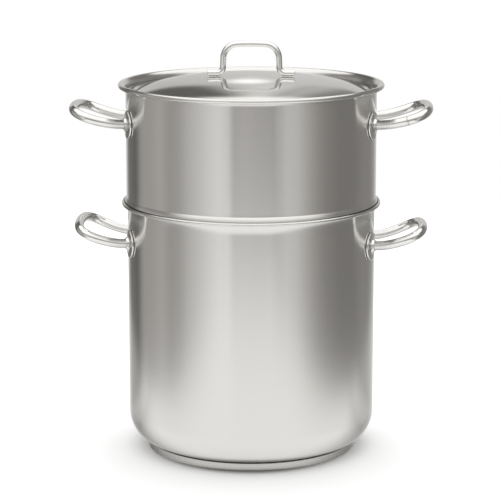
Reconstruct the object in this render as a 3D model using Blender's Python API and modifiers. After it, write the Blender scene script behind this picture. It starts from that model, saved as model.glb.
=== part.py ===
"""Couscous pot: a tall stock pot, a steamer that sits in its mouth, and a lid that sits in the steamer.

Metres, +Z up. The origin is the centre of the base's underside, and the side handles lie along X.
Vessels and lid are turned sheets. The pot carries the steamer's bead on its lip, and the steamer's
lip carries the edge of the lid, so each stage takes its height from the one below.
"""

import math

import bmesh
import bpy
from mathutils import Matrix, Vector

# Overall fits
CLEARANCE = 0.0003
RING_STEPS = 44

# Pot: a deep drawn vessel with a flared, turned-down lip
POT_RADIUS = 0.160
POT_HEIGHT = 0.3244
POT_WALL = 0.0012
POT_CORNER_WIDTH = 0.0270
POT_CORNER_HEIGHT = 0.0432
POT_LIP_REACH = 0.0077
POT_LIP_FLARE = 0.0134
POT_LIP_DROP = 0.0042
POT_LIP_CROWN = 0.0040

# Sandwich base: an aluminium disc in a pressed steel capsule, with a groove between capsule and pot
BASE_THICKNESS = 0.0105
BASE_INSET = 0.0262
BASE_RADIUS = POT_RADIUS - BASE_INSET
CAPSULE_HEIGHT = 0.0090
CAPSULE_WALL = 0.0008
CAPSULE_EDGE = 0.0020
CAPSULE_SHOULDER = 0.0010
CAPSULE_LEDGE = 0.0028

# Steamer: wall, lip, the bead that rests on the pot's lip, and a perforated cup below it
STEAMER_OVERHANG = 0.0012
STEAMER_RADIUS = POT_RADIUS + STEAMER_OVERHANG
STEAMER_RISE = 0.1513
STEAMER_WALL = 0.0012
STEAMER_LIP_REACH = 0.0098
STEAMER_LIP_FLARE = 0.0152
STEAMER_LIP_DROP = 0.0040
STEAMER_LIP_CROWN = 0.0053
BEAD_RADIUS = 0.0028
BEAD_STAND_OUT = 0.0032
BEAD_SHOULDER = 0.0026
CUP_SIDE_GAP = 0.0015
CUP_DEPTH = 0.0340
CUP_CORNER = 0.0140
STEAM_HOLE_RADIUS = 0.0030
STEAM_HOLE_PITCH = 0.0300
STEAM_HOLE_MARGIN = 0.0100

# Lid: flat edge, shallow groove, then a dome
LID_SIDE_GAP = 0.0001
LID_RADIUS = STEAMER_RADIUS - STEAMER_WALL - LID_SIDE_GAP
LID_SHEET = 0.0010
LID_EDGE_WIDTH = 0.0090
LID_GROOVE_WIDTH = 0.0022
LID_GROOVE_DEPTH = 0.0015
LID_DOME_RISE = 0.0188
LID_DOME_SHARE = 0.4765
LID_DOME_POWER = 5.0

# Bow handle of the lid
BOW_ROD_RADIUS = 0.0040
BOW_HALF_WIDTH = 0.0364
BOW_HEIGHT = 0.0456
BOW_CORNER = 0.0140
BOW_FOOT_BEND = 0.0080
BOW_FOOT_REACH = 0.0561

# Side handles: tubes that leave the wall at two rosettes and close in an upturned loop.
# Each reach is measured from the wall.
HANDLE_TUBE_RADIUS = 0.0060
HANDLE_LEG_ANGLE = math.radians(16.3)
HANDLE_LEG_PULL = 0.0454
HANDLE_END_PULL = 0.0765
HANDLE_RISE_POWER = 1.65
HANDLE_SEAT_GAP = 0.0006
POT_HANDLE_REACH = 0.0683
POT_HANDLE_RISE = 0.0208
STEAMER_HANDLE_REACH = 0.0722
STEAMER_HANDLE_RISE = 0.0178
# Each handle's drop from the top of its lip, and its small welding tilt about the X axis
POT_LEFT_DROP = 0.0493
POT_LEFT_TILT = math.radians(-0.4)
POT_RIGHT_DROP = 0.0524
POT_RIGHT_TILT = math.radians(-2.7)
STEAMER_LEFT_DROP = 0.0496
STEAMER_LEFT_TILT = math.radians(-1.35)
STEAMER_RIGHT_DROP = 0.0489
STEAMER_RIGHT_TILT = math.radians(-0.9)

# Rosettes: pressed caps that hold the tube ends against the wall
ROSETTE_RADIUS = 0.0176
ROSETTE_HEIGHT = 0.0084
ROSETTE_RIM = 0.0013
ROSETTE_NECK = 0.0014
ROSETTE_BULGE = 0.0009
ROSETTE_SHEET = 0.0011
ROSETTE_SINK = 0.0020


def clear_scene():
    for item in list(bpy.data.objects):
        bpy.data.objects.remove(item, do_unlink=True)


def new_collection(name):
    collection = bpy.data.collections.new(name)
    bpy.context.scene.collection.children.link(collection)
    return collection


def steel(name, color, roughness):
    material = bpy.data.materials.new(name)
    material.use_nodes = True
    shader = material.node_tree.nodes["Principled BSDF"]
    shader.inputs["Base Color"].default_value = (*color, 1.0)
    shader.inputs["Metallic"].default_value = 1.0
    shader.inputs["Roughness"].default_value = roughness
    return material


def elliptic_arc(centre, width, height, start, end, steps):
    """Points (radius, height) on an ellipse about a centre, from one angle to another in degrees."""
    points = []
    for step in range(steps + 1):
        angle = math.radians(start + (end - start) * step / steps)
        points.append((centre[0] + width * math.cos(angle), centre[1] + height * math.sin(angle)))
    return points


def resting_height(profile, ring_radius, bead, clearance):
    """Centre height at which a round bead on a ring just clears the profile below it."""
    reach = bead + clearance
    heights = []
    for (radius, height), (next_radius, next_height) in zip(profile, profile[1:]):
        for step in range(9):
            share = step / 8
            aside = abs(radius + (next_radius - radius) * share - ring_radius)
            if aside < reach:
                top = height + (next_height - height) * share
                heights.append(top + math.sqrt(reach * reach - aside * aside))
    return max(heights)


def turned_line(name, profile, collection, material):
    """Turn a line of points (radius, height) about Z into a round surface."""
    mesh = bpy.data.meshes.new(name)
    edges = [(index, index + 1) for index in range(len(profile) - 1)]
    mesh.from_pydata([(radius, 0.0, height) for radius, height in profile], edges, [])
    mesh.materials.append(material)
    item = bpy.data.objects.new(name, mesh)
    collection.objects.link(item)
    turn = item.modifiers.new("turn", "SCREW")
    turn.axis = "Z"
    turn.angle = math.tau
    turn.steps = RING_STEPS
    turn.render_steps = RING_STEPS
    turn.use_merge_vertices = True
    turn.merge_threshold = 0.00001
    turn.use_smooth_shade = True
    return item


def turned_sheet(name, profile, sheet, side, collection, material):
    """Turn an open profile about Z and thicken it: side 1 grows outwards, -1 inwards."""
    item = turned_line(name, profile, collection, material)
    thicken = item.modifiers.new("sheet", "SOLIDIFY")
    thicken.thickness = sheet
    thicken.offset = side
    thicken.use_even_offset = True
    thicken.use_quality_normals = True
    return item


def turned_ring(name, outline, steps):
    """Mesh of a closed outline (radius, height), listed down its outer side, turned about Z."""
    work = bmesh.new()
    rings = []
    for step in range(steps):
        turn = Matrix.Rotation(math.tau * step / steps, 4, "Z")
        rings.append([work.verts.new(turn @ Vector((radius, 0.0, height))) for radius, height in outline])
    count = len(outline)
    for step in range(steps):
        ring = rings[step]
        following = rings[(step + 1) % steps]
        for index in range(count):
            after = (index + 1) % count
            work.faces.new((ring[index], ring[after], following[after], following[index]))
    bmesh.ops.recalc_face_normals(work, faces=work.faces)
    mesh = bpy.data.meshes.new(name)
    work.to_mesh(mesh)
    work.free()
    mesh.shade_smooth()
    mesh.set_sharp_from_angle(angle=math.radians(40))
    return mesh


def cutter_object(name, mesh, collection):
    item = bpy.data.objects.new(name, mesh)
    item.hide_render = True
    item.display_type = "WIRE"
    collection.objects.link(item)
    return item


def cut(item, cutter):
    boolean = item.modifiers.new("cut", "BOOLEAN")
    boolean.operation = "DIFFERENCE"
    boolean.solver = "EXACT"
    boolean.object = cutter


def vessel_lip(inner_radius, lip_radius, top, flare, drop, crown):
    """Lip of a vessel, edge to wall: turned down outside its crown, flared from the wall inside it."""
    crown_radius = lip_radius - crown
    outer = elliptic_arc((crown_radius, top - drop), crown, drop, 0, 90, 3)
    inner = elliptic_arc((crown_radius, top - flare), crown_radius - inner_radius, flare, 90, 180, 5)
    return outer + inner[1:]


def pot_profile():
    """Inner surface of the pot, from the edge of its lip to the centre of its floor."""
    inner = POT_RADIUS - POT_WALL
    floor = BASE_THICKNESS + POT_WALL
    width = POT_CORNER_WIDTH - POT_WALL
    height = POT_CORNER_HEIGHT - POT_WALL
    lip = vessel_lip(inner, POT_RADIUS + POT_LIP_REACH, POT_HEIGHT,
                     POT_LIP_FLARE, POT_LIP_DROP, POT_LIP_CROWN)
    corner = elliptic_arc((inner - width, floor + height), width, height, 0, -90, 6)
    return lip + corner + [(0.0, floor)]


def bead_ring():
    """Radius of the circle on which the middle of the steamer's bead lies."""
    return STEAMER_RADIUS + BEAD_STAND_OUT - BEAD_RADIUS


def bead_height():
    """The steamer's bead rests on the pot's lip."""
    return resting_height(pot_profile(), bead_ring(), BEAD_RADIUS, CLEARANCE)


def steamer_top():
    return bead_height() + STEAMER_RISE


def steamer_lip():
    inner = STEAMER_RADIUS - STEAMER_WALL
    return vessel_lip(inner, STEAMER_RADIUS + STEAMER_LIP_REACH, steamer_top(),
                      STEAMER_LIP_FLARE, STEAMER_LIP_DROP, STEAMER_LIP_CROWN)


def steamer_profile():
    """Inner surface of the steamer, from the edge of its lip to the centre of its perforated floor."""
    inner = STEAMER_RADIUS - STEAMER_WALL
    middle = bead_height()
    hollow = BEAD_RADIUS - STEAMER_WALL
    cup = POT_RADIUS - POT_WALL - CUP_SIDE_GAP - STEAMER_WALL
    floor = middle - CUP_DEPTH + STEAMER_WALL
    corner = CUP_CORNER - STEAMER_WALL
    bead = elliptic_arc((bead_ring(), middle), hollow, hollow, 75, -70, 4)
    bend = elliptic_arc((cup - corner, floor + corner), corner, corner, 0, -90, 3)
    shoulder = [(inner, middle + BEAD_SHOULDER)]
    step_in = [(cup, middle - BEAD_SHOULDER)]
    return steamer_lip() + shoulder + bead + step_in + bend + [(0.0, floor)]


def lid_edge_top():
    """The square edge of the lid rests inside the steamer's flared lip."""
    half = LID_SHEET / 2
    corner = half * math.sqrt(2)
    middle = resting_height(steamer_lip(), LID_RADIUS - half, corner, CLEARANCE)
    return middle + half


def dome_radius():
    return LID_RADIUS - LID_EDGE_WIDTH - LID_GROOVE_WIDTH


def dome_height(radius):
    """Top surface of the lid's dome: flat at the crown and steeper towards its foot."""
    share = radius / dome_radius()
    foot = lid_edge_top() - LID_GROOVE_DEPTH
    fall = LID_DOME_SHARE * share ** 2 + (1 - LID_DOME_SHARE) * share ** LID_DOME_POWER
    return foot + LID_DOME_RISE * (1 - fall)


def lid_profile():
    """Top surface of the lid, from its centre to its edge."""
    shares = (0.0, 0.3, 0.5, 0.65, 0.78, 0.9, 1.0)
    dome = [(dome_radius() * share, dome_height(dome_radius() * share)) for share in shares]
    edge_top = lid_edge_top()
    edge = [(LID_RADIUS - LID_EDGE_WIDTH, edge_top), (LID_RADIUS, edge_top)]
    return dome + edge


def add_base(collection, plain, bright):
    """The aluminium disc, and the steel capsule that wraps it from below."""
    mouth = BASE_RADIUS - CAPSULE_LEDGE
    shoulder = elliptic_arc((BASE_RADIUS - CAPSULE_SHOULDER, CAPSULE_HEIGHT - CAPSULE_SHOULDER),
                            CAPSULE_SHOULDER, CAPSULE_SHOULDER, 90, 0, 2)
    edge = elliptic_arc((BASE_RADIUS - CAPSULE_EDGE, CAPSULE_EDGE), CAPSULE_EDGE, CAPSULE_EDGE, 0, -90, 2)
    turned_sheet("base_capsule", [(mouth, CAPSULE_HEIGHT)] + shoulder + edge + [(0.0, 0.0)],
                 CAPSULE_WALL, -1, collection, bright)
    lining = CAPSULE_WALL + CLEARANCE
    inside = BASE_RADIUS - lining
    step = CAPSULE_HEIGHT - lining
    top = BASE_THICKNESS - CLEARANCE
    neck = mouth - CLEARANCE
    section = [(0.0, top), (neck, top), (neck, step), (inside, step),
               (inside, lining + CAPSULE_EDGE), (inside - CAPSULE_EDGE, lining), (0.0, lining)]
    turned_line("base_heat_disc", section, collection, plain)


def steam_holes():
    """Centres of the steam holes: rows of a triangular grid, within the flat of the cup's floor."""
    cup = POT_RADIUS - POT_WALL - CUP_SIDE_GAP
    limit = cup - CUP_CORNER - STEAM_HOLE_MARGIN - STEAM_HOLE_RADIUS
    row_gap = STEAM_HOLE_PITCH * math.sqrt(3) / 2
    rows = int(limit / row_gap)
    centres = []
    for row in range(-rows, rows + 1):
        shift = STEAM_HOLE_PITCH / 2 if row % 2 else 0.0
        columns = int(limit / STEAM_HOLE_PITCH) + 1
        for column in range(-columns, columns + 1):
            centre = Vector((column * STEAM_HOLE_PITCH + shift, row * row_gap))
            if centre.length <= limit:
                centres.append(centre)
    return centres


def steam_hole_cutter(cutters):
    floor = bead_height() - CUP_DEPTH + STEAMER_WALL / 2
    work = bmesh.new()
    for centre in steam_holes():
        place = Matrix.Translation((centre.x, centre.y, floor))
        bmesh.ops.create_cone(work, cap_ends=True, segments=6, radius1=STEAM_HOLE_RADIUS,
                              radius2=STEAM_HOLE_RADIUS, depth=STEAMER_WALL * 4, matrix=place)
    mesh = bpy.data.meshes.new("steam_hole_cutter")
    work.to_mesh(mesh)
    work.free()
    return cutter_object("steam_hole_cutter", mesh, cutters)


def wall_cutter(name, wall_radius, height, cutters):
    """A plain drum just larger than a vessel's wall, which curves the backs of the rosettes."""
    sides = RING_STEPS * 2
    radius = (wall_radius + CLEARANCE) / math.cos(math.pi / sides)
    work = bmesh.new()
    place = Matrix.Translation((0.0, 0.0, height))
    bmesh.ops.create_cone(work, cap_ends=True, segments=sides, radius1=radius, radius2=radius,
                          depth=ROSETTE_RADIUS * 6, matrix=place)
    mesh = bpy.data.meshes.new(name)
    work.to_mesh(mesh)
    work.free()
    return cutter_object(name, mesh, cutters)


def rosette_outline():
    """Section of a rosette: rim against the wall, flank, neck around the tube, and back inside."""
    neck = HANDLE_TUBE_RADIUS + CLEARANCE
    collar = neck + ROSETTE_SHEET
    bend = ROSETTE_HEIGHT - ROSETTE_NECK
    flank = ((ROSETTE_RADIUS + collar) / 2, (bend + ROSETTE_RIM) / 2 + ROSETTE_BULGE)
    outside = [(collar, ROSETTE_HEIGHT), (collar, bend), flank,
               (ROSETTE_RADIUS, ROSETTE_RIM), (ROSETTE_RADIUS, -ROSETTE_SINK)]
    inside = [(ROSETTE_RADIUS - ROSETTE_SHEET, -ROSETTE_SINK), (ROSETTE_RADIUS - ROSETTE_SHEET, 0.0),
              (neck, bend - ROSETTE_SHEET), (neck, ROSETTE_HEIGHT)]
    return outside + inside


def add_rosette(name, mesh, wall_radius, azimuth, height, cutter, collection, material):
    item = bpy.data.objects.new(name, mesh)
    outwards = Vector((math.cos(azimuth), math.sin(azimuth), 0.0))
    item.location = outwards * wall_radius + Vector((0.0, 0.0, height))
    item.rotation_euler = (0.0, math.pi / 2, azimuth)
    if not mesh.materials:
        mesh.materials.append(material)
    collection.objects.link(item)
    cut(item, cutter)
    return item


def leg_bend(wall_radius):
    """Where a handle's leg comes out of its rosette and starts to bend."""
    outwards = Vector((math.cos(HANDLE_LEG_ANGLE), math.sin(HANDLE_LEG_ANGLE)))
    return outwards * (wall_radius + ROSETTE_HEIGHT + CLEARANCE)


def handle_half(wall_radius, reach, rise):
    """One leg of a side handle, from its seat on the wall to the middle of the loop.

    The leg stands square to the wall within its rosette. From there each point lies on a cubic
    curve that meets the middle of the loop at a right angle, and climbs towards the loop.
    """
    outwards = Vector((math.cos(HANDLE_LEG_ANGLE), math.sin(HANDLE_LEG_ANGLE)))
    end = wall_radius + reach - HANDLE_TUBE_RADIUS
    seat = outwards * (wall_radius + HANDLE_SEAT_GAP)
    start = leg_bend(wall_radius)
    leave = start + outwards * HANDLE_LEG_PULL
    arrive = Vector((end, HANDLE_END_PULL))
    middle = Vector((end, 0.0))
    points = [(seat.x, start.y, seat.y, 0.0)]
    steps = 11
    for step in range(steps + 1):
        share = step / steps
        rest = 1 - share
        place = (start * rest ** 3 + leave * 3 * rest ** 2 * share
                 + arrive * 3 * rest * share ** 2 + middle * share ** 3)
        out = min(max((place.x - start.x) / (end - start.x), 0.0), 1.0)
        points.append((place.x, place.y, place.y, rise * out ** HANDLE_RISE_POWER))
    return points


def rod(name, points, radius, collection, material):
    """A round bar along a list of points, with closed ends."""
    curve = bpy.data.curves.new(name, "CURVE")
    curve.dimensions = "3D"
    curve.bevel_depth = radius
    curve.bevel_resolution = 2
    curve.use_fill_caps = True
    spline = curve.splines.new("POLY")
    spline.points.add(len(points) - 1)
    for point, place in zip(spline.points, points):
        point.co = (*place, 1.0)
    curve.materials.append(material)
    item = bpy.data.objects.new(name, curve)
    collection.objects.link(item)
    return item


def add_side_handle(stem, side, wall_radius, reach, rise, height, tilt, cutter, mesh, collection, material):
    """A handle on one side (1 is +X, -1 is -X) with its front and back rosettes."""
    half = handle_half(wall_radius, reach, rise)
    lean = math.tan(tilt)
    back = [(side * x, y, height + gain + level * lean) for x, level, y, gain in half]
    front = [(side * x, -y, height + gain - level * lean) for x, level, y, gain in half]
    vessel, where = stem
    rod(f"{vessel}_handle_{where}", back + front[-2::-1], HANDLE_TUBE_RADIUS, collection, material)
    leg = leg_bend(wall_radius).y
    for end, sign in (("front", -1), ("back", 1)):
        azimuth = sign * HANDLE_LEG_ANGLE
        if side < 0:
            azimuth = math.pi - azimuth
        add_rosette(f"{vessel}_rosette_{where}_{end}", mesh, wall_radius, azimuth,
                    height + sign * leg * lean, cutter, collection, material)


def bow_points():
    """The lid's bow: foot, bend, leg, corner and bar, then the same mirrored."""
    seat = dome_height(BOW_HALF_WIDTH)
    foot = seat + CLEARANCE + BOW_ROD_RADIUS
    bar = seat + BOW_HEIGHT - BOW_ROD_RADIUS
    bend = elliptic_arc((BOW_HALF_WIDTH + BOW_FOOT_BEND, foot + BOW_FOOT_BEND),
                        BOW_FOOT_BEND, BOW_FOOT_BEND, 270, 180, 4)
    corner = elliptic_arc((BOW_HALF_WIDTH - BOW_CORNER, bar - BOW_CORNER), BOW_CORNER, BOW_CORNER, 0, 90, 5)
    half = [(BOW_FOOT_REACH, foot)] + bend + corner
    right = [(x, 0.0, z) for x, z in half]
    left = [(-x, 0.0, z) for x, z in reversed(half)]
    return right + left


def build():
    clear_scene()
    parts = new_collection("couscous_pot")
    cutters = new_collection("couscous_pot_cutters")
    satin = steel("satin_steel", (0.62, 0.61, 0.59), 0.32)
    polished = steel("polished_steel", (0.74, 0.73, 0.71), 0.12)
    aluminium = steel("aluminium", (0.70, 0.71, 0.72), 0.45)

    turned_sheet("pot_body", pot_profile(), POT_WALL, 1, parts, satin)
    add_base(parts, aluminium, polished)

    steamer = turned_sheet("steamer_body", steamer_profile(), STEAMER_WALL, 1, parts, satin)
    cut(steamer, steam_hole_cutter(cutters))

    turned_sheet("lid_dome", lid_profile(), LID_SHEET, -1, parts, polished)
    rod("lid_handle", bow_points(), BOW_ROD_RADIUS, parts, polished)

    rosette = turned_ring("rosette", rosette_outline(), 16)
    pot_wall = wall_cutter("pot_wall_cutter", POT_RADIUS,
                           POT_HEIGHT - (POT_LEFT_DROP + POT_RIGHT_DROP) / 2, cutters)
    steamer_wall = wall_cutter("steamer_wall_cutter", STEAMER_RADIUS,
                               steamer_top() - (STEAMER_LEFT_DROP + STEAMER_RIGHT_DROP) / 2, cutters)
    for where, side, drop, tilt in (("left", -1, POT_LEFT_DROP, POT_LEFT_TILT),
                                    ("right", 1, POT_RIGHT_DROP, POT_RIGHT_TILT)):
        add_side_handle(("pot", where), side, POT_RADIUS, POT_HANDLE_REACH, POT_HANDLE_RISE,
                        POT_HEIGHT - drop, tilt, pot_wall, rosette, parts, polished)
    for where, side, drop, tilt in (("left", -1, STEAMER_LEFT_DROP, STEAMER_LEFT_TILT),
                                    ("right", 1, STEAMER_RIGHT_DROP, STEAMER_RIGHT_TILT)):
        add_side_handle(("steamer", where), side, STEAMER_RADIUS, STEAMER_HANDLE_REACH,
                        STEAMER_HANDLE_RISE, steamer_top() - drop, tilt, steamer_wall, rosette, parts,
                        polished)


build()
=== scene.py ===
import math

import bmesh
import bpy
import numpy as np
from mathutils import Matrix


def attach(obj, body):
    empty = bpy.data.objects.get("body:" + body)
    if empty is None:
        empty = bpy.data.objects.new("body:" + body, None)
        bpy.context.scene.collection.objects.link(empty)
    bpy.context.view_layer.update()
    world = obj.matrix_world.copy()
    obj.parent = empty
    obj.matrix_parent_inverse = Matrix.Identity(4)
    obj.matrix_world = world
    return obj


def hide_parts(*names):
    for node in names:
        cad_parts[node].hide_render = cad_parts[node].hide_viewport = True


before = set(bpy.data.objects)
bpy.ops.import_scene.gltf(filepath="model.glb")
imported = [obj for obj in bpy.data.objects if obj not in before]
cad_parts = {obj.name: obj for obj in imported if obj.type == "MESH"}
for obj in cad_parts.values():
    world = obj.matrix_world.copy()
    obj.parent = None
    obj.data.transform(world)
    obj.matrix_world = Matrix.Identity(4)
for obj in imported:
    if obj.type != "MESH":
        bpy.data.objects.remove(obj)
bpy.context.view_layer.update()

print("frame loaded:", sorted(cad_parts))


# lines and surfaces

def arcLine(centre, radii, start, end, count):
    # ellipse: centre + radii * (cos t, sin t), t from start to end in degrees
    t = np.radians(np.linspace(start, end, count))
    return np.column_stack((centre[0] + radii[0] * np.cos(t), centre[1] + radii[1] * np.sin(t)))


def roundedLine(corners, radii, count=8):
    # a line of corners; each inner corner becomes a circular arc that touches both of its sides
    corners = np.array(corners, float)
    pieces = [corners[:1]]
    for before, corner, after, radius in zip(corners[:-2], corners[1:-1], corners[2:], radii):
        back = (before - corner) / np.linalg.norm(before - corner)
        ahead = (after - corner) / np.linalg.norm(after - corner)
        half = 0.5 * math.acos(float(np.clip(back @ ahead, -1, 1)))
        reach = radius / math.tan(half)
        middle = corner + (back + ahead) / np.linalg.norm(back + ahead) * radius / math.sin(half)
        first, last = corner + back * reach - middle, corner + ahead * reach - middle
        turn = math.atan2(first[0] * last[1] - first[1] * last[0], float(first @ last))
        t = np.linspace(0.0, turn, count)
        pieces.append(middle + np.column_stack((first[0] * np.cos(t) - first[1] * np.sin(t),
                                                first[0] * np.sin(t) + first[1] * np.cos(t))))
    return np.vstack(pieces + [corners[-1:]])


def spreadLine(line, gap):
    # the same line with extra points, so that no straight run is longer than gap
    steps = np.linalg.norm(np.diff(line, axis=0), axis=1)
    line = line[np.append(True, steps > 1e-7)]
    steps = steps[steps > 1e-7]
    along = np.append(0.0, np.cumsum(steps))
    extra = np.arange(gap, along[-1], gap)
    clear = np.abs(extra[:, None] - along[None, :]).min(axis=1) > gap * 0.3
    places = np.sort(np.concatenate((along, extra[clear])))
    return np.column_stack([np.interp(places, along, line[:, axis]) for axis in range(line.shape[1])])


def lineNormals(line):
    # the line's direction, turned a quarter to the left
    ahead = np.gradient(line, axis=0)
    ahead /= np.linalg.norm(ahead, axis=1)[:, None]
    return np.column_stack((-ahead[:, 1], ahead[:, 0]))


def sheetOutline(line, sheet, openStart=False, openEnd=False):
    # out along the line and back along its copy, moved sheet to the left; free ends are half circles
    side = lineNormals(line)
    other = line + side * sheet
    t = np.linspace(0.0, math.pi, 7)[1:-1, None]
    parts = [line]
    if openEnd:
        middle = (line[-1] + other[-1]) / 2
        ahead = np.array((side[-1, 1], -side[-1, 0]))
        parts.append(middle - side[-1] * np.cos(t) * sheet / 2 + ahead * np.sin(t) * sheet / 2)
    parts.append(other[::-1])
    if openStart:
        middle = (line[0] + other[0]) / 2
        behind = np.array((-side[0, 1], side[0, 0]))
        parts.append(middle + side[0] * np.cos(t) * sheet / 2 + behind * np.sin(t) * sheet / 2)
    outline = np.vstack(parts)
    outline[:, 0] = np.maximum(outline[:, 0], 0.0)
    return outline


def gridPiece(name, grid, closeRows=False, closeColumns=True):
    # a grid of points becomes four-sided faces; its UV map holds metres along the rows and turns around
    if closeRows:
        grid = np.concatenate((grid, grid[:1]), axis=0)
    if closeColumns:
        grid = np.concatenate((grid, grid[:, :1]), axis=1)
    rows, columns = grid.shape[:2]
    step = np.linalg.norm(np.diff(grid, axis=0), axis=2).mean(axis=1)
    along = np.repeat(np.append(0.0, np.cumsum(step))[:, None], columns, axis=1)
    around = np.repeat(np.linspace(0.0, 1.0, columns)[None, :], rows, axis=0)
    index = np.arange(rows * columns).reshape(rows, columns)
    corner = np.stack((index[:-1, :-1], index[1:, :-1], index[1:, 1:], index[:-1, 1:]), axis=2).reshape(-1, 4)
    mesh = bpy.data.meshes.new(name)
    mesh.vertices.add(rows * columns)
    mesh.vertices.foreach_set("co", grid.astype(np.float32).ravel())
    mesh.loops.add(corner.size)
    mesh.loops.foreach_set("vertex_index", corner.astype(np.int32).ravel())
    mesh.polygons.add(len(corner))
    mesh.polygons.foreach_set("loop_start", np.arange(0, corner.size, 4, dtype=np.int32))
    mesh.polygons.foreach_set("use_smooth", np.ones(len(corner), bool))
    layer = mesh.uv_layers.new(name="grain")
    spots = np.column_stack((along.ravel()[corner.ravel()], around.ravel()[corner.ravel()]))
    layer.data.foreach_set("uv", spots.astype(np.float32).ravel())
    mesh.update(calc_edges=True)
    work = bmesh.new()
    work.from_mesh(mesh)
    bmesh.ops.remove_doubles(work, verts=work.verts, dist=1e-6)
    bmesh.ops.dissolve_degenerate(work, edges=work.edges, dist=1e-7)
    bmesh.ops.recalc_face_normals(work, faces=work.faces)
    work.to_mesh(mesh)
    work.free()
    mesh.shade_smooth()
    piece = bpy.data.objects.new(name, mesh)
    bpy.context.scene.collection.objects.link(piece)
    return piece


def turnedPiece(name, outline, columns, closeRows=False):
    # an outline (radius, height) turned about Z: (r cos a, r sin a, z)
    a = np.linspace(0.0, math.tau, columns, endpoint=False)
    grid = np.empty((len(outline), columns, 3))
    grid[:, :, 0] = outline[:, 0, None] * np.cos(a)
    grid[:, :, 1] = outline[:, 0, None] * np.sin(a)
    grid[:, :, 2] = outline[:, 1, None]
    return gridPiece(name, grid, closeRows=closeRows)


def tubePiece(name, path, radius, columns, edge):
    # circles square to a path: p + radius * (cos a * side + sin a * up), closed by flat ends with a small edge
    ahead = np.gradient(path, axis=0)
    ahead /= np.linalg.norm(ahead, axis=1)[:, None]
    side = np.cross(ahead, (0.0, 0.0, 1.0) if abs(ahead[:, 2]).max() < 0.9 else (0.0, 1.0, 0.0))
    side /= np.linalg.norm(side, axis=1)[:, None]
    up = np.cross(side, ahead)
    a = np.linspace(0.0, math.tau, columns, endpoint=False)
    ring = np.cos(a)[None, :, None] * side[:, None] + np.sin(a)[None, :, None] * up[:, None]
    reach = np.full(len(path), radius)
    path = path.copy()
    path[0] += ahead[0] * edge
    path[-1] -= ahead[-1] * edge
    spots = np.concatenate(([path[0] - ahead[0] * edge] * 2, path, [path[-1] + ahead[-1] * edge] * 2))
    reach = np.concatenate(([0.0, radius - edge], reach, [radius - edge, 0.0]))
    ring = np.concatenate((ring[:1], ring[:1], ring, ring[-1:], ring[-1:]))
    return gridPiece(name, spots[:, None] + reach[:, None, None] * ring)


def dress(piece, body, node, material):
    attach(piece, body)
    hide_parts(node)
    piece.data.materials.append(material)
    return piece


# material nodes

def newMaterial(name):
    material = bpy.data.materials.new(name)
    material.use_nodes = True
    tree = material.node_tree
    return material, tree, tree.nodes["Principled BSDF"]


def addNode(tree, kind, settings=None, inputs=None):
    # an input that is another node's output is linked, and any other is set
    node = tree.nodes.new(kind)
    for key, value in (settings or {}).items():
        setattr(node, key, value)
    for key, value in (inputs or {}).items():
        if isinstance(value, bpy.types.NodeSocket):
            tree.links.new(value, node.inputs[key])
        else:
            node.inputs[key].default_value = value
    return node


def mathNode(tree, operation, *values):
    return addNode(tree, "ShaderNodeMath", {"operation": operation}, dict(enumerate(values))).outputs[0]


def mixColours(tree, factor, first, second):
    node = addNode(tree, "ShaderNodeMix", {"data_type": "RGBA"})
    for socket, value in ((node.inputs["Factor"], factor), (node.inputs[6], first), (node.inputs[7], second)):
        if isinstance(value, bpy.types.NodeSocket):
            tree.links.new(value, socket)
        else:
            socket.default_value = value
    return node.outputs[2]


def smoothStep(tree, value, low, high):
    return addNode(tree, "ShaderNodeMapRange", {"interpolation_type": "SMOOTHSTEP"},
                   {"Value": value, "From Min": low, "From Max": high}).outputs[0]


def scaleRange(tree, value, low, high, first, last):
    return addNode(tree, "ShaderNodeMapRange", inputs={
        "Value": value, "From Min": low, "From Max": high, "To Min": first, "To Max": last}).outputs[0]


def noise(tree, place, scale, detail, roughness=0.5):
    return addNode(tree, "ShaderNodeTexNoise", inputs={
        "Vector": place, "Scale": scale, "Detail": detail, "Roughness": roughness}).outputs["Fac"]


def splitVector(tree, vector):
    return addNode(tree, "ShaderNodeSeparateXYZ", inputs={0: vector}).outputs


def objectPlace(tree):
    return addNode(tree, "ShaderNodeTexCoord").outputs["Object"]


def grainMap(tree):
    # metres along the profile and turns around it
    return splitVector(tree, addNode(tree, "ShaderNodeUVMap", {"uv_map": "grain"}).outputs[0])


def scaledLength(tree, place, scale):
    # how far a place lies from the middle, after its parts are multiplied by scale
    scaled = addNode(tree, "ShaderNodeVectorMath", {"operation": "MULTIPLY"}, {0: place, 1: scale}).outputs[0]
    return addNode(tree, "ShaderNodeVectorMath", {"operation": "LENGTH"}, {0: scaled}).outputs["Value"]


def bump(tree, height, strength, distance, normal=None):
    inputs = {"Height": height, "Strength": strength, "Distance": distance}
    if normal:
        inputs["Normal"] = normal
    return addNode(tree, "ShaderNodeBump", inputs=inputs).outputs[0]


# steel finishes

def creaseShadeShare(tree, place, creaseShade):
    # 1 in the crease where the steamer's bead sits in the pot's lip, where shade is painted dark into the steel's
    # colour; the painted shade is a little wider at the sides
    spot = splitVector(tree, place)
    aside = smoothStep(tree, mathNode(tree, "ABSOLUTE", spot[0]), creaseShade["side"] * 0.4, creaseShade["side"])
    height = mathNode(tree, "MULTIPLY_ADD", aside, -creaseShade["wider"], spot[2])
    reach = scaledLength(tree, place, (1.0, 1.0, 0.0))
    blend = creaseShade["blend"]
    inner = smoothStep(tree, reach, creaseShade["radius"] + blend, creaseShade["radius"] - blend)
    under = smoothStep(tree, height, creaseShade["top"] + blend, creaseShade["top"] - blend)
    above = smoothStep(tree, height, creaseShade["bottom"] - blend, creaseShade["bottom"] + blend)
    return mathNode(tree, "MULTIPLY", mathNode(tree, "MULTIPLY", inner, under), above)


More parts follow.
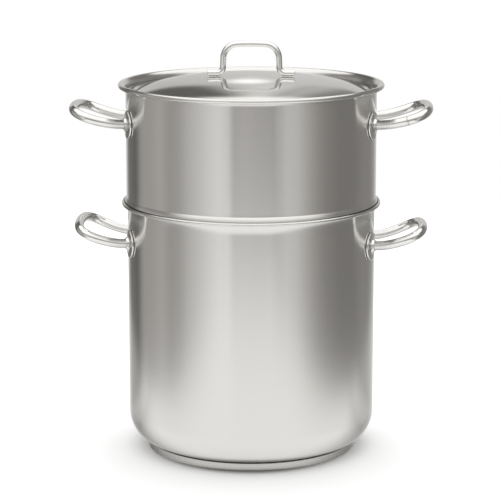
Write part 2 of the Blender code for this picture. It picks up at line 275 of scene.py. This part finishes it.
def grooveShadeShare(tree, place, foot):
    # above 0 on the outside of the pot's corner, close to the groove of the base, where shade is painted dark into the
    # colour; outside is the profile's far half
    outside = smoothStep(tree, grainMap(tree)[0], foot["outsideFrom"], foot["outsideFrom"] + 0.02)
    low = smoothStep(tree, splitVector(tree, place)[2], foot["top"], foot["bottom"])
    return mathNode(tree, "MULTIPLY", mathNode(tree, "MULTIPLY", low, outside), foot["share"])


def turnedSteel(name, finish):
    # brushed sheet: long highlights across the brush lines, faint lines round the axis and soft clouds
    material, tree, shader = newMaterial(name)
    place = objectPlace(tree)
    spot = splitVector(tree, place)
    # the lines are noise that is fine along the profile and slow around it
    grain = addNode(tree, "ShaderNodeCombineXYZ", inputs={
        0: mathNode(tree, "MULTIPLY", spot[0], finish["lineStretch"]),
        1: mathNode(tree, "MULTIPLY", spot[1], finish["lineStretch"]),
        2: mathNode(tree, "MULTIPLY", grainMap(tree)[0], finish["linesPerMetre"])}).outputs[0]
    lines = noise(tree, grain, 1.0, 3.0, 0.6)
    cloud = noise(tree, place, 7.0, 4.0, 0.55)
    toned = mixColours(tree, lines, finish["dark"], finish["light"])
    colour = mixColours(tree, scaleRange(tree, cloud, 0.3, 0.7, 0.0, finish["clouds"]), toned, finish["cloud"])
    if "creaseShade" in finish:
        # painted shade: the crease under the steamer's bead is darkened in the colour
        colour = mixColours(tree, creaseShadeShare(tree, place, finish["creaseShade"]), colour, finish["paintedShade"])
        # painted shade: the pot's corner is darkened in the colour just above the base's groove
        colour = mixColours(tree, grooveShadeShare(tree, place, finish["foot"]), colour, finish["paintedShade"])
    rough, span = finish["rough"], finish["roughSpan"]
    tangent = addNode(tree, "ShaderNodeTangent", {"direction_type": "UV_MAP", "uv_map": "grain"}).outputs[0]
    tree.links.new(colour, shader.inputs["Base Color"])
    tree.links.new(scaleRange(tree, lines, 0.25, 0.75, rough - span, rough + span), shader.inputs["Roughness"])
    tree.links.new(bump(tree, lines, finish["bump"], 0.00002), shader.inputs["Normal"])
    tree.links.new(tangent, shader.inputs["Tangent"])
    shader.inputs["Metallic"].default_value = 1.0
    shader.inputs["Anisotropic"].default_value = finish["anisotropic"]
    return material


def polishedSteel(name, finish):
    # mirror polish with a faint haze, fine buffing marks and slow waves in the surface
    material, tree, shader = newMaterial(name)
    place = objectPlace(tree)
    haze = noise(tree, place, 45.0, 5.0, 0.6)
    marks = noise(tree, place, 900.0, 2.0)
    wave = noise(tree, place, 60.0, 1.0)
    rough, span = finish["rough"], finish["roughSpan"]
    dullness = scaleRange(tree, haze, 0.3, 0.7, rough - span, rough + span)
    if "weldReach" in finish:
        # tube ends are duller where the weld to the rosette was cleaned
        reach = scaledLength(tree, place, (1.0, 1.0, 0.0))
        near = smoothStep(tree, reach, finish["weldReach"], finish["weldStart"])
        dullness = mathNode(tree, "MULTIPLY_ADD", near, finish["weldRough"], dullness)
    small = bump(tree, marks, 0.15, 0.00001)
    tree.links.new(mixColours(tree, haze, finish["dark"], finish["light"]), shader.inputs["Base Color"])
    tree.links.new(dullness, shader.inputs["Roughness"])
    tree.links.new(bump(tree, wave, finish["wave"], 0.0002, small), shader.inputs["Normal"])
    shader.inputs["Metallic"].default_value = 1.0
    return material


satin = turnedSteel("satinSteel", {
    "dark": (0.66, 0.652, 0.635, 1.0), "light": (0.735, 0.727, 0.71, 1.0), "cloud": (0.69, 0.68, 0.66, 1.0),
    "clouds": 0.4, "rough": 0.18, "roughSpan": 0.02, "bump": 0.05, "anisotropic": 0.97,
    # paintedShade is the dark colour of the painted shade under the steamer's bead and above the base's groove
    "linesPerMetre": 5200.0, "lineStretch": 5.0, "paintedShade": (0.04, 0.04, 0.038, 1.0),
    "creaseShade": {"radius": 0.1652, "top": 0.3250, "bottom": 0.3225, "side": 0.150, "wider": 0.0009, "blend": 0.0003},
    "foot": {"outsideFrom": 0.60, "top": 0.0167, "bottom": 0.0120, "share": 0.25}})
spun = turnedSteel("spunSteel", {
    "dark": (0.66, 0.655, 0.64, 1.0), "light": (0.72, 0.715, 0.70, 1.0), "cloud": (0.68, 0.67, 0.65, 1.0),
    "clouds": 0.4, "rough": 0.09, "roughSpan": 0.02, "bump": 0.04, "anisotropic": 0.6,
    "linesPerMetre": 3800.0, "lineStretch": 4.0})
mirrorFinish = {"dark": (0.70, 0.695, 0.68, 1.0), "light": (0.78, 0.775, 0.76, 1.0),
                "rough": 0.09, "roughSpan": 0.02, "wave": 0.04}
polished = polishedSteel("polishedSteel", mirrorFinish)
tubeSteel = polishedSteel("tubeSteel", {**mirrorFinish, "weldReach": 0.200, "weldStart": 0.178, "weldRough": 0.20})
# the capsule's darker colour is painted shade, standing in for the shaded floor close round the base that it mirrors
capsuleSteel = polishedSteel("capsuleSteel", {
    "dark": (0.50, 0.495, 0.48, 1.0), "light": (0.57, 0.565, 0.55, 1.0),
    "rough": 0.28, "roughSpan": 0.03, "wave": 0.04})
bowSteel = polishedSteel("bowSteel", {
    "dark": (0.82, 0.815, 0.80, 1.0), "light": (0.90, 0.895, 0.88, 1.0),
    "rough": 0.15, "roughSpan": 0.03, "wave": 0.04})
weldSteel = polishedSteel("weldSteel", {
    "dark": (0.50, 0.47, 0.43, 1.0), "light": (0.72, 0.70, 0.67, 1.0),
    "rough": 0.22, "roughSpan": 0.06, "wave": 0.5})
discMetal = polishedSteel("discAluminium", {
    "dark": (0.55, 0.55, 0.55, 1.0), "light": (0.68, 0.68, 0.69, 1.0),
    "rough": 0.42, "roughSpan": 0.08, "wave": 0.2})
print("materials made")


# the pot's shell

curlEnd = -115  # degrees at which the lips' curls stop

pot = {"radius": 0.160, "height": 0.3252, "wall": 0.0012, "floor": 0.0105,
       "cornerWidth": 0.0275, "cornerHeight": 0.0368, "footStep": 0.0010, "footWidth": 0.0040,
       "lipRadius": 0.1676, "lipCurl": 0.0022, "flare": 0.0165, "columns": 256, "gap": 0.005}
potInner = pot["radius"] - pot["wall"]
potFloor = pot["floor"] + pot["wall"]
potFoot = potFloor + pot["footStep"]
potCurl = pot["lipRadius"] - pot["lipCurl"]
potCorner = (pot["cornerWidth"] - pot["wall"], pot["cornerHeight"] - pot["wall"])
footRadius = potInner - potCorner[0]
# inner surface from the middle of the floor: a small step up, round corner, wall, flare and a curled lip
potLine = np.vstack((
    [(0.0, potFloor), (footRadius - pot["footWidth"], potFloor)],
    arcLine((footRadius, potFoot + potCorner[1]), potCorner, -90, 0, 30),
    arcLine((potCurl, pot["height"] - pot["flare"]), (potCurl - potInner, pot["flare"]), 180, 90, 20),
    arcLine((potCurl, pot["height"] - pot["lipCurl"]), (pot["lipCurl"],) * 2, 90, curlEnd, 22)[1:]))
potOutline = sheetOutline(spreadLine(potLine, pot["gap"]), -pot["wall"], openEnd=True)
potShell = turnedPiece("potShell", potOutline, pot["columns"])
dress(potShell, "pot", "pot_body", satin)
print("pot shell:", len(potShell.data.polygons), "faces")


# the base: a pressed capsule round the aluminium disc

base = {"radius": 0.1360, "height": 0.0099, "wall": 0.0008, "edge": 0.0011, "shoulder": 0.0010, "ledge": 0.0028,
        "columns": 256, "gap": 0.004}
capsuleLine = roundedLine([(base["radius"] - base["ledge"], base["height"]), (base["radius"], base["height"]),
                           (base["radius"], 0.0), (0.0, 0.0)], (base["shoulder"], base["edge"]))
capsuleOutline = sheetOutline(spreadLine(capsuleLine, base["gap"]), -base["wall"], openStart=True)
capsule = turnedPiece("baseCapsule", capsuleOutline, base["columns"])
dress(capsule, "pot", "base_capsule", capsuleSteel)
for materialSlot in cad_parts["base_heat_disc"].material_slots:
    materialSlot.material = discMetal
print("base done")


# the steamer: wall, bead and perforated cup

steamer = {"radius": 0.1612, "wall": 0.0012, "top": 0.4782, "lipRadius": 0.1710, "lipCurl": 0.0031, "flare": 0.0108,
           "beadSeat": 0.3243, "beadEdge": 0.0009, "beadArc": 0.0203, "beadLow": 12.0, "beadLean": 30.0,
           "beadBlend": 0.0008, "beadSkip": 3.5, "beadTrim": 4.0, "beadSharpest": 0.0003,
           "cupRadius": 0.1573, "cupFloor": 0.2929, "cupCorner": 0.0140, "cupStep": 0.0012,
           "columns": 256, "gap": 0.005}
plate = {"radius": 0.1250, "holeRadius": 0.0030, "holePitch": 0.0150, "holeReach": 0.1170, "holeSides": 14}
curlRing = steamer["lipRadius"] - steamer["lipCurl"]


def steamerSide(inset):
    # one face of the sheet, from the plate to the curled lip; inset is its depth below the outer face.
    # The bead stands on a rounded edge and leans back to the wall in a long arc, from beadLow to beadLean degrees.
    # Where two arcs meet, one stops beadTrim degrees early, and beadSkip starts the inner face's arc higher up
    wall, cup = steamer["radius"] - inset, steamer["cupRadius"] - inset
    corner = steamer["cupCorner"] - inset
    seat = steamer["beadSeat"] + inset
    turn = max(steamer["beadEdge"] - inset, steamer["beadSharpest"])
    curl = steamer["lipCurl"] - steamer["wall"] + inset
    step = steamer["cupStep"] + inset
    lowLean = steamer["beadLow"] + steamer["beadSkip"] * inset / steamer["wall"]
    low, lean = math.radians(lowLean), math.radians(steamer["beadLean"])
    arc, blend = steamer["beadArc"] - inset, steamer["beadBlend"] + inset
    middle = (wall + blend - (arc + blend) * math.cos(lean),
              steamer["beadSeat"] + steamer["beadEdge"]
              - (steamer["beadArc"] - steamer["beadEdge"]) * math.sin(math.radians(steamer["beadLow"])))
    return np.vstack((
        [(plate["radius"], steamer["cupFloor"] + inset)],
        arcLine((cup - corner, steamer["cupFloor"] + inset + corner), (corner,) * 2, -90, 0, 16),
        arcLine((cup + step, seat - step), (step,) * 2, 180, 90, 7),
        arcLine((middle[0] + (arc - turn) * math.cos(low), seat + turn), (turn,) * 2,
                -90, lowLean - steamer["beadTrim"], 8),
        arcLine(middle, (arc,) * 2, lowLean, steamer["beadLean"], 9),
        arcLine((wall + blend, middle[1] + (arc + blend) * math.sin(lean)), (blend,) * 2,
                180 - steamer["beadTrim"] + steamer["beadLean"], 180, 6),
        arcLine((curlRing, steamer["top"] - steamer["flare"]),
                (curlRing - wall, steamer["flare"] - steamer["wall"] + inset), 180, 90, 20),
        arcLine((curlRing, steamer["top"] - steamer["lipCurl"]), (curl,) * 2, 90, curlEnd, 22)[1:]))


steamerOutline = np.vstack((spreadLine(steamerSide(steamer["wall"]), steamer["gap"]),
                            spreadLine(steamerSide(0.0), steamer["gap"])[::-1]))
steamerShell = turnedPiece("steamerShell", steamerOutline, steamer["columns"], closeRows=True)


def ringSpline(curve, centre, radius, count):
    spline = curve.splines.new("POLY")
    spline.points.add(count - 1)
    a = np.linspace(0.0, math.tau, count, endpoint=False)
    ring = np.column_stack((centre[0] + radius * np.cos(a), centre[1] + radius * np.sin(a), 0 * a, 0 * a + 1.0))
    spline.points.foreach_set("co", ring.ravel())
    spline.use_cyclic_u = True


# perforated plate: a flat disc with steam holes on a grid of equal triangles
plateCurve = bpy.data.curves.new("steamerPlate", "CURVE")
plateCurve.dimensions = "2D"
plateCurve.fill_mode = "BOTH"
plateCurve.extrude = steamer["wall"] / 2
ringSpline(plateCurve, (0.0, 0.0), plate["radius"], steamer["columns"])
rowGap = plate["holePitch"] * math.sqrt(3) / 2
rowCount = int(plate["holeReach"] / rowGap)
for row in range(-rowCount, rowCount + 1):
    shift = plate["holePitch"] / 2 if row % 2 else 0.0
    for column in range(-rowCount - 2, rowCount + 3):
        hole = (column * plate["holePitch"] + shift, row * rowGap)
        if math.hypot(*hole) <= plate["holeReach"]:
            ringSpline(plateCurve, hole, plate["holeRadius"], plate["holeSides"])
plateItem = bpy.data.objects.new("steamerPlate", plateCurve)
bpy.context.scene.collection.objects.link(plateItem)
plateItem.location.z = steamer["cupFloor"] + steamer["wall"] / 2
bpy.context.view_layer.update()
plateMesh = bpy.data.meshes.new_from_object(plateItem.evaluated_get(bpy.context.evaluated_depsgraph_get()))
plateMesh.transform(plateItem.matrix_world)
bpy.data.objects.remove(plateItem)
work = bmesh.new()
work.from_mesh(steamerShell.data)
work.from_mesh(plateMesh)
bmesh.ops.remove_doubles(work, verts=work.verts, dist=1e-6)
work.to_mesh(steamerShell.data)
work.free()
dress(steamerShell, "steamer", "steamer_body", satin)
print("steamer shell:", len(steamerShell.data.polygons), "faces")


# the lid and its bow

lid = {"radius": 0.1599, "sheet": 0.0010, "edgeTop": 0.46906, "edgeWidth": 0.0090, "rim": 0.0005,
       "grooveWidth": 0.0022, "grooveDepth": 0.0015, "grooveRound": 0.0014, "domeStop": 0.0020, "footStart": 0.0019,
       "rise": 0.0188, "share": 0.4765, "power": 5.0, "columns": 256, "gap": 0.004}
domeRadius = lid["radius"] - lid["edgeWidth"] - lid["grooveWidth"]
domeFoot = lid["edgeTop"] - lid["grooveDepth"]
edgeIn = lid["radius"] - lid["edgeWidth"]


def domeHeight(radius):
    # flat at the crown and steeper towards the foot: a square term and a fifth power of r / domeRadius
    share = radius / domeRadius
    return domeFoot + lid["rise"] * (1 - lid["share"] * share ** 2 - (1 - lid["share"]) * share ** lid["power"])


domeSpots = np.linspace(0.0, domeRadius - lid["domeStop"], 60)
footStart = domeRadius - lid["footStart"]
lidLine = np.vstack((
    np.column_stack((domeSpots, domeHeight(domeSpots))),
    roundedLine([(footStart, domeHeight(footStart)), (domeRadius, domeFoot), (edgeIn, lid["edgeTop"]),
                 (lid["radius"] - lid["rim"], lid["edgeTop"])], (lid["grooveRound"],) * 2)))
lidOutline = sheetOutline(spreadLine(lidLine, lid["gap"]), -lid["sheet"], openEnd=True)
lidShell = turnedPiece("lidShell", lidOutline, lid["columns"])
dress(lidShell, "lid", "lid_dome", spun)

bow = {"rod": 0.0039, "halfWidth": 0.0364, "topWidth": 0.0350, "height": 0.0456, "arch": 0.0018,
       "corner": 0.0170, "footBend": 0.0080, "footReach": 0.0561, "lift": 0.0003,
       "columns": 32, "gap": 0.0025, "edge": 0.0005}
bowSeat = domeHeight(bow["halfWidth"])
bowFoot = bowSeat + bow["lift"] + bow["rod"]
bowBar = bowSeat + bow["height"] - bow["rod"]
# the bow's middle line in the XZ plane, from foot to foot, with round bends; its legs lean in towards the
# bar, and the bar is a shallow arch: z - arch * (x / topWidth)^2
bowLine = roundedLine([(bow["footReach"], bowFoot), (bow["halfWidth"], bowFoot), (bow["topWidth"], bowBar),
                       (-bow["topWidth"], bowBar), (-bow["halfWidth"], bowFoot), (-bow["footReach"], bowFoot)],
                      (bow["footBend"], bow["corner"], bow["corner"], bow["footBend"]), count=16)
bowLine = spreadLine(bowLine, bow["gap"])
bowRise = np.clip((bowLine[:, 1] - bowFoot) / (bowBar - bowFoot), 0.0, 1.0)
bowLine[:, 1] -= bow["arch"] * bowRise * (bowLine[:, 0] / bow["topWidth"]) ** 2
bowPath = np.column_stack((bowLine[:, 0], 0 * bowLine[:, 0], bowLine[:, 1]))
lidBow = tubePiece("lidBow", bowPath, bow["rod"], bow["columns"], bow["edge"])
dress(lidBow, "lid", "lid_handle", bowSteel)
print("lid done")


# side handles and their rosettes

handle = {"tube": 0.0060, "legAngle": math.radians(16.3), "legPull": 0.0454, "endPull": 0.0765, "risePower": 1.65,
          "seatGap": 0.0006, "bend": 0.0087, "straightSteps": 7, "steps": 90, "columns": 32, "edge": 0.0003}
rosette = {"gap": 0.0003, "radius": 0.0180, "height": 0.0064, "neckGap": 0.00015, "neckDepth": 0.0020,
           "collar": 0.0069, "collarRound": 0.0004, "foot": 0.0098, "fillet": 0.0035, "face": 0.0025,
           "faceSlope": 0.0002, "round": 0.0012, "rim": 0.0005, "rimIn": 0.0008, "rimRound": 0.0003,
           "sheet": 0.0014, "hollow": 0.0008, "sag": 0.0009, "blend": 0.0030, "step": 0.0012, "columns": 72}
joint = {"place": 0.1998, "gap": 0.0005, "raise": 0.00015, "edge": 0.0002}
sideHandles = (
    # vessel, side, wall radius, reach, rise, height, tilt in degrees
    ("pot", "left", 0.1600, 0.2283, 0.0208, 0.3244 - 0.0493, -0.4),
    ("pot", "right", 0.1600, 0.2283, 0.0208, 0.3244 - 0.0524, -2.7),
    ("steamer", "left", 0.1612, 0.2334, 0.0178, 0.4782 - 0.0496, -1.35),
    ("steamer", "right", 0.1612, 0.2334, 0.0178, 0.4782 - 0.0489, -0.9))
outwards = np.array((math.cos(handle["legAngle"]), math.sin(handle["legAngle"])))


def handlePath(wallRadius, reach, rise, height, tilt):
    # straight out of the rosette, then a cubic curve to the middle of the loop; height grows as a power of reach
    seat = outwards * (wallRadius + handle["seatGap"])
    start = outwards * (wallRadius + handle["bend"])
    end = reach - handle["tube"]
    t = np.linspace(0.0, 1.0, handle["steps"])[:, None]
    controls = (start, start + outwards * handle["legPull"], np.array((end, handle["endPull"])), np.array((end, 0.0)))
    plan = sum(weight * point for weight, point in
               zip(((1 - t) ** 3, 3 * t * (1 - t) ** 2, 3 * t ** 2 * (1 - t), t ** 3), controls))
    gain = rise * np.clip((plan[:, 0] - start[0]) / (end - start[0]), 0.0, 1.0) ** handle["risePower"]
    count = handle["straightSteps"]
    straight = seat + (start - seat) * np.linspace(0.0, 1.0, count + 1)[:-1, None]
    plan = np.vstack((straight, plan))
    level = np.maximum(np.append(np.full(count, start[1]), plan[count:, 1]), 0.0)
    gain = np.append(np.zeros(count), gain)
    lean = math.tan(math.radians(tilt))
    back = np.column_stack((plan, height + gain + level * lean))
    front = np.column_stack((plan[:, 0], -plan[:, 1], height + gain - level * lean))
    return np.vstack((back, front[-2::-1])), start[1] * lean


def rosetteOutline():
    # section of the pressed cap: neck round the tube, fillet, flat face, rounded rim, and back inside
    neck = handle["tube"] + rosette["neckGap"]
    outside = roundedLine([(neck, rosette["height"]), (rosette["collar"], rosette["height"]),
                           (rosette["foot"], rosette["face"] + rosette["faceSlope"]),
                           (rosette["radius"], rosette["face"]), (rosette["radius"], rosette["rim"]),
                           (rosette["radius"] - rosette["rimIn"], 0.0)],
                          (rosette["collarRound"], rosette["fillet"], rosette["round"], rosette["rimRound"]), count=9)
    inside = np.array([(rosette["radius"] - rosette["sheet"], 0.0), (rosette["foot"], rosette["hollow"]),
                       (neck, rosette["neckDepth"])])
    return spreadLine(np.vstack((outside, inside)), rosette["step"])


def rosettePiece(name, wallRadius, azimuth, height):
    # the section turned about the leg: its neck is round the tube, and the disc lies on the curved wall,
    # depth = R - sqrt(R^2 - y^2), a little below the tube's middle
    section = rosetteOutline()
    a = np.linspace(0.0, math.tau, rosette["columns"], endpoint=False)
    share = np.clip((section[:, 0, None] - rosette["collar"]) / rosette["blend"], 0.0, 1.0)
    share = share * share * (3 - 2 * share)
    across = section[:, 0, None] * np.cos(a)
    upward = section[:, 0, None] * np.sin(a) - rosette["sag"] * share
    fall = wallRadius - np.sqrt(wallRadius ** 2 - across ** 2)
    out = wallRadius + rosette["gap"] + section[:, 1, None] - fall * share
    c, s = math.cos(azimuth), math.sin(azimuth)
    grid = np.stack((out * c - across * s, out * s + across * c, height + upward), axis=2)
    return gridPiece(name, grid, closeRows=True)


for vessel, where, wallRadius, reach, rise, height, tilt in sideHandles:
    side = 1 if where == "right" else -1
    path, legDrop = handlePath(wallRadius, reach, rise, height, tilt)
    path[:, 0] *= side
    tube = tubePiece(f"{vessel}Handle_{where}", path, handle["tube"], handle["columns"], handle["edge"])
    dress(tube, vessel, f"{vessel}_handle_{where}", tubeSteel)
    for end, sign in (("front", -1), ("back", 1)):
        azimuth = sign * handle["legAngle"] if side > 0 else math.pi - sign * handle["legAngle"]
        cap = rosettePiece(f"{vessel}Rosette_{where}_{end}", wallRadius, azimuth, height + sign * legDrop)
        dress(cap, vessel, f"{vessel}_rosette_{where}_{end}", polished)
    if (vessel, where) == ("steamer", "right"):
        # the joint line of this tube, on its front leg
        front = path[len(path) // 2:]
        nearest = int(np.argmin(abs(front[:, 0] - joint["place"])))
        jointPath = spreadLine(front[nearest - 1:nearest + 2], joint["gap"])
        jointRing = tubePiece("steamerHandleJoint", jointPath, handle["tube"] + joint["raise"],
                              handle["columns"], joint["edge"])
        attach(jointRing, "steamer")
        jointRing.data.materials.append(weldSteel)
print("handles and rosettes done")


# the studio's floor; in the metal it is a bright sheet that ends at its sides, before the camera and behind

floorLook = {"half": 1.8, "colour": (0.93, 0.93, 0.93, 1.0),
             "paintedShadowColour": (0.34, 0.34, 0.33, 1.0), "contactOval": 1.10, "contactIn": 0.1350, "contactOut": 0.153,
             "sheetColour": (1.14, 1.135, 1.12, 1.0), "sheetSide": 0.48, "sideBlend": 0.10,
             "sheetFront": -1.40, "frontBlend": 0.22, "sheetBack": 0.08, "backBlend": 0.10, "backShare": 0.70,
             "farFrom": 0.40, "farTo": 1.00, "farShare": 0.30,
             "shadeIn": 0.17, "shadeOut": 0.50, "shadeFront": 2.2, "shadeShare": 0.75,
             "glowShare": 0.75, "glowIn": 0.134, "glowOut": 0.149}
floorSpots = np.linspace(-floorLook["half"], floorLook["half"], 3)
floorGrid = np.stack(np.meshgrid(floorSpots, floorSpots, [0.0], indexing="ij"), axis=3)[:, :, 0]
floor = gridPiece("studioFloor", floorGrid, closeColumns=False)
floorMaterial, tree, shader = newMaterial("studioFloor")
shader.inputs["Roughness"].default_value = 0.9
shader.inputs["Specular IOR Level"].default_value = 0.0
mirrored = addNode(tree, "ShaderNodeLightPath").outputs["Is Glossy Ray"]
place = objectPlace(tree)
spot = splitVector(tree, place)
beside = smoothStep(tree, mathNode(tree, "ABSOLUTE", spot[0]),
                    floorLook["sheetSide"] - floorLook["sideBlend"], floorLook["sheetSide"] + floorLook["sideBlend"])
before = smoothStep(tree, spot[1], floorLook["sheetFront"] + floorLook["frontBlend"],
                    floorLook["sheetFront"] - floorLook["frontBlend"])
behind = smoothStep(tree, spot[1], floorLook["sheetBack"] - floorLook["backBlend"],
                    floorLook["sheetBack"] + floorLook["backBlend"])
behind = mathNode(tree, "MULTIPLY", behind, floorLook["backShare"])
distant = smoothStep(tree, spot[1], floorLook["farFrom"], floorLook["farTo"])
behind = mathNode(tree, "MULTIPLY_ADD", distant, floorLook["farShare"], behind)
ended = mathNode(tree, "MAXIMUM", mathNode(tree, "MAXIMUM", beside, behind), before)
# the object's own shade on the sheet is longer towards the sides than towards the front
forwards = mathNode(tree, "MAXIMUM", mathNode(tree, "MULTIPLY", spot[1], -floorLook["shadeFront"]), 0.0)
spread = mathNode(tree, "ADD", scaledLength(tree, place, (1.0, 1.0, 1.0)), forwards)
shade = smoothStep(tree, spread, floorLook["shadeOut"], floorLook["shadeIn"])
ended = mathNode(tree, "MAXIMUM", ended, mathNode(tree, "MULTIPLY", shade, floorLook["shadeShare"]))
# close round the base a contact shadow is painted dark into the floor's colour, and the sheet doesn't glow
hug = scaledLength(tree, place, (floorLook["contactOval"], 1.0, 0.0))
glow = mathNode(tree, "MULTIPLY_ADD", shade, -floorLook["glowShare"], floorLook["glowShare"])
glow = mathNode(tree, "MULTIPLY", glow, smoothStep(tree, hug, floorLook["glowIn"], floorLook["glowOut"]))
nearness = smoothStep(tree, hug, floorLook["contactIn"], floorLook["contactOut"])
tree.links.new(mixColours(tree, nearness, floorLook["paintedShadowColour"], floorLook["colour"]), shader.inputs["Base Color"])
lamp = addNode(tree, "ShaderNodeEmission", inputs={"Color": floorLook["sheetColour"], "Strength": 1.0})
sheet = addNode(tree, "ShaderNodeMixShader", inputs={
    0: mathNode(tree, "MULTIPLY", mirrored, glow), 1: shader.outputs[0], 2: lamp.outputs[0]})
clear = addNode(tree, "ShaderNodeBsdfTransparent")
shown = addNode(tree, "ShaderNodeMixShader", inputs={
    0: mathNode(tree, "MULTIPLY", ended, mirrored), 1: sheet.outputs[0], 2: clear.outputs[0]})
tree.links.new(shown.outputs[0], tree.nodes["Material Output"].inputs["Surface"])
floor.data.materials.append(floorMaterial)


# the room: what the metal mirrors, grey by direction in degrees round the object from the camera, right is positive

levelBands = (
    (-180, 0.66), (-172, 0.58), (-163, 0.68), (-152, 0.20), (-130, 0.15), (-118, 0.41), (-104, 0.43),
    (-90, 0.49), (-78, 0.40), (-68, 0.45), (-58, 0.60), (-48, 0.71), (-38, 0.83), (-28, 0.91), (-20, 0.78),
    (-17, 0.61), (-14.5, 0.40), (-4, 0.45), (21, 0.33), (24, 0.45), (34, 0.68), (44, 0.66), (54, 0.50),
    (64, 0.36), (74, 0.28), (90, 0.23), (110, 0.23), (128, 0.28), (142, 0.27), (154, 0.36), (165, 0.62),
    (180, 0.66))
# the same for the sloping part of the room, seen in the lid
highBands = (
    (-180, 0.80), (-178, 0.74), (-177, 0.56), (-176, 0.42), (-175, 0.28), (-174, 0.15), (-150, 0.13),
    (-120, 0.25), (-60, 0.32), (-24, 0.46), (24, 0.46), (60, 0.30), (120, 0.25), (150, 0.20), (162, 0.22),
    (170, 0.28), (173, 0.44), (175, 0.58), (177, 0.50), (179, 0.72), (180, 0.80))
# heights are the upward part of the direction, from -1 to 1
roomLook = {"warmth": 0.10, "frontBlend": 0.5, "eyeLow": -0.02, "eyeHigh": 0.07, "slopeLow": 0.24, "slopeHigh": 0.34,
            "boxLow": 0.18, "boxHigh": 0.52, "boxColour": (1.25, 1.24, 1.22, 1.0),
            "patchPlace": (-0.058, 0.976, 0.216), "patchScale": (2.0, 1.0, 1.0), "patchIn": 0.010, "patchOut": 0.060,
            "patchColour": (1.42, 1.41, 1.39, 1.0),
            "ceilingLow": 0.57, "ceilingHigh": 0.68, "ceilingColour": (1.40, 1.39, 1.37, 1.0),
            "skyLevel": 0.84, "skyTop": 0.85, "skyBack": 0.75}


def bandColours(tree, factor, bands, warmth):
    node = addNode(tree, "ShaderNodeValToRGB", inputs={0: factor})
    ramp = node.color_ramp
    while len(ramp.elements) > 1:
        ramp.elements.remove(ramp.elements[0])
    for number, (degrees, grey) in enumerate(bands):
        place = (degrees + 180) / 360
        stop = ramp.elements.new(place) if number else ramp.elements[0]
        stop.position = place
        # darker parts of the room are a little warmer
        warm = warmth * (1.0 - min(grey, 1.0))
        stop.color = (grey, grey * (1 - 0.45 * warm), grey * (1 - warm), 1.0)
    return node.outputs[0]


world = bpy.data.worlds.new("studio")
bpy.context.scene.world = world
world.use_nodes = True
tree = world.node_tree
direction = addNode(tree, "ShaderNodeTexCoord").outputs["Generated"]
spot = splitVector(tree, direction)
minusY = mathNode(tree, "MULTIPLY", spot[1], -1.0)
turned = scaleRange(tree, mathNode(tree, "ARCTAN2", spot[0], minusY), -math.pi, math.pi, 0.0, 1.0)
level = bandColours(tree, turned, levelBands, roomLook["warmth"])
high = bandColours(tree, turned, highBands, roomLook["warmth"])
inFront = smoothStep(tree, minusY, 0.0, roomLook["frontBlend"])
# before the camera the room is darkest from eye level up
dimmed = mathNode(tree, "MULTIPLY", smoothStep(tree, spot[2], roomLook["eyeLow"], roomLook["eyeHigh"]), inFront)
room = mixColours(tree, dimmed, level, high)
room = mixColours(tree, smoothStep(tree, spot[2], roomLook["slopeLow"], roomLook["slopeHigh"]), room, high)
# the light boxes overhead, lower in front than behind, and a bright patch of the backdrop just above the object
boxes = mathNode(tree, "MULTIPLY", smoothStep(tree, spot[2], roomLook["boxLow"], roomLook["boxHigh"]), inFront)
room = mixColours(tree, boxes, room, roomLook["boxColour"])
narrow = addNode(tree, "ShaderNodeVectorMath", {"operation": "MULTIPLY"}, {0: direction, 1: roomLook["patchScale"]})
away = addNode(tree, "ShaderNodeVectorMath", {"operation": "DISTANCE"},
               {0: narrow.outputs[0], 1: roomLook["patchPlace"]}).outputs["Value"]
room = mixColours(tree, smoothStep(tree, away, roomLook["patchOut"], roomLook["patchIn"]), room,
                  roomLook["patchColour"])
room = mixColours(tree, smoothStep(tree, spot[2], roomLook["ceilingLow"], roomLook["ceilingHigh"]), room,
                  roomLook["ceilingColour"])
# soft daylight for everything that scatters light, stronger from above and behind
sky = mathNode(tree, "MULTIPLY_ADD", spot[2], roomLook["skyTop"], roomLook["skyLevel"])
sky = mathNode(tree, "MULTIPLY_ADD", minusY, -roomLook["skyBack"], sky)
ray = addNode(tree, "ShaderNodeLightPath").outputs
lit = mixColours(tree, ray["Is Glossy Ray"], sky, room)
seen = mixColours(tree, ray["Is Camera Ray"], lit, (1.0, 1.0, 1.0, 1.0))
tree.links.new(seen, tree.nodes["Background"].inputs["Color"])


# the camera

view = {"turn": math.radians(1.6), "distance": 2.7713, "height": 0.8278, "drop": 0.203,
        "lens": 156.25, "sensor": 36.0, "shiftX": -0.00236, "shiftY": 0.0010, "far": 20.0}
cameraData = bpy.data.cameras.new("camera")
cameraData.lens = view["lens"]
cameraData.sensor_width = view["sensor"]
cameraData.shift_x = view["shiftX"]
cameraData.shift_y = view["shiftY"]
cameraData.clip_end = view["far"]
camera = bpy.data.objects.new("camera", cameraData)
bpy.context.scene.collection.objects.link(camera)
camera.location = (view["distance"] * math.sin(view["turn"]), -view["distance"] * math.cos(view["turn"]),
                   view["height"])
camera.rotation_euler = (math.pi / 2 - view["drop"], 0.0, view["turn"])
bpy.context.scene.camera = camera
bpy.context.scene.view_settings.view_transform = "Standard"
print("studio done")
